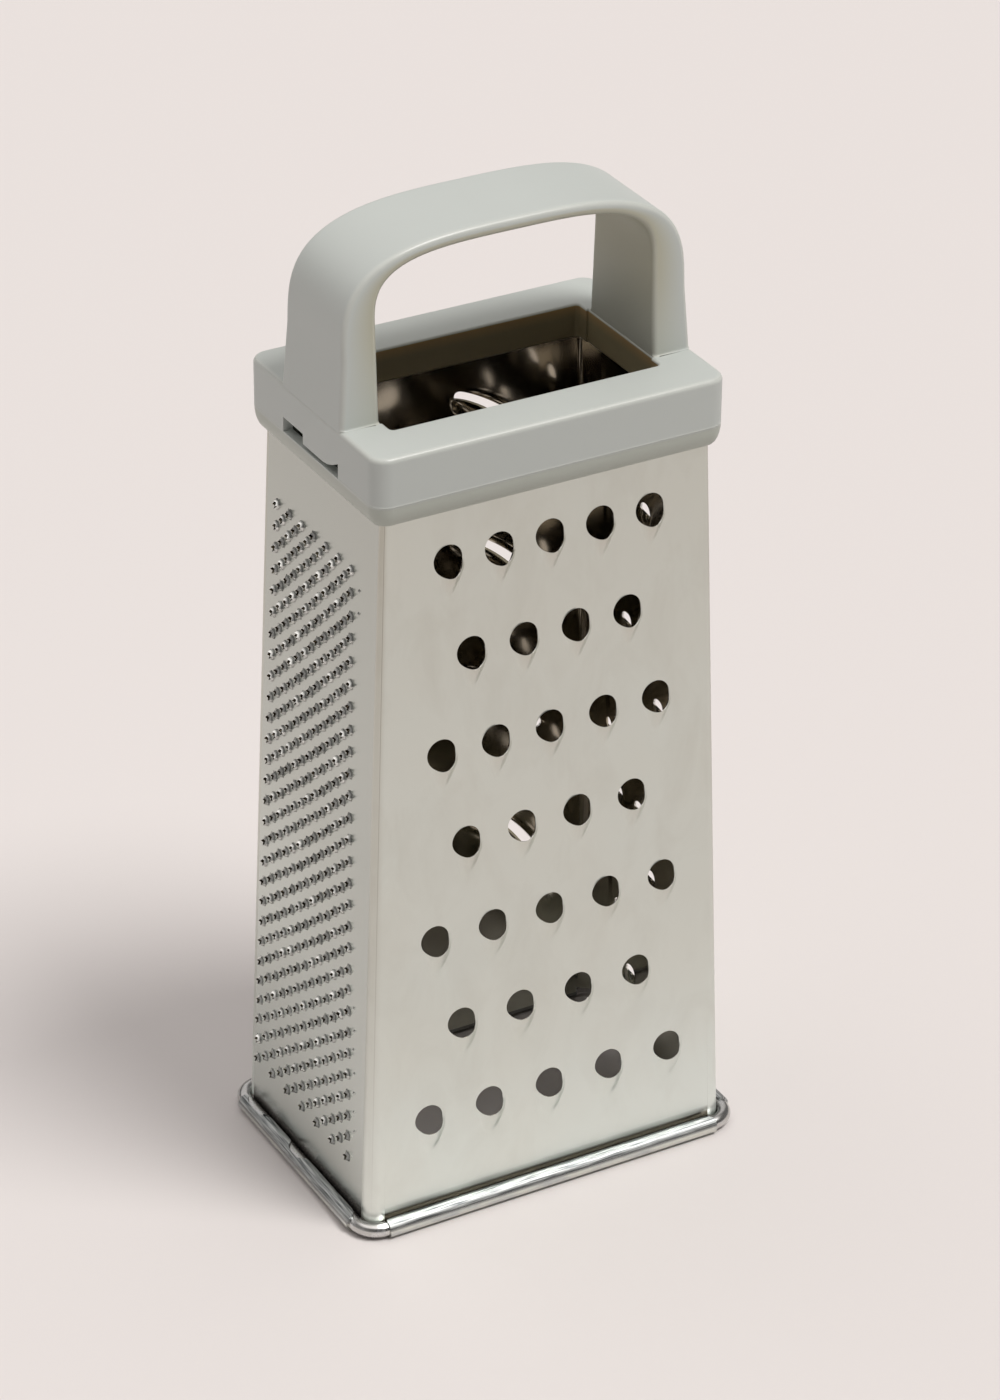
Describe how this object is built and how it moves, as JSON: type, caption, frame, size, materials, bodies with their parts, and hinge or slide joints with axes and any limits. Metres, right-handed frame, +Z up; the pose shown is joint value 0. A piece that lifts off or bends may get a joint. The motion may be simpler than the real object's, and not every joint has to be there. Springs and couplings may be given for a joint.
{
  "type": "box grater",
  "caption": "Four-sided steel box grater with coarse, fine, medium and slicing faces, a wired base and a moulded plastic collar and handle.",
  "frame": {"origin": "centre of the base, on the surface that the grater stands on", "axes": "+Z up, towards the handle; -Y out of the coarse face, -X out of the fine face, +X out of the medium face, +Y out of the slicing face"},
  "size_m": [0.0966, 0.0668, 0.2235],
  "materials": {
    "sheet_steel": "satin rolled sheet, mirror-like inside",
    "hem_steel": "bright rolled sheet",
    "wire_steel": "bright drawn wire",
    "grey_plastic": "smooth satin moulding"
  },
  "bodies": {
    "root": {"coarse_wall": "sheet_steel", "fine_wall": "sheet_steel", "slicing_wall": "sheet_steel", "medium_wall": "sheet_steel", "bend_front_left": "sheet_steel", "bend_front_right": "sheet_steel", "bend_back_left": "sheet_steel", "bend_back_right": "sheet_steel", "seam_lap": "sheet_steel", "hem_front": "hem_steel", "hem_left": "hem_steel", "hem_back": "hem_steel", "hem_right": "hem_steel", "base_wire": "wire_steel", "collar": "grey_plastic", "handle": "grey_plastic"}
  },
  "joints": []
}
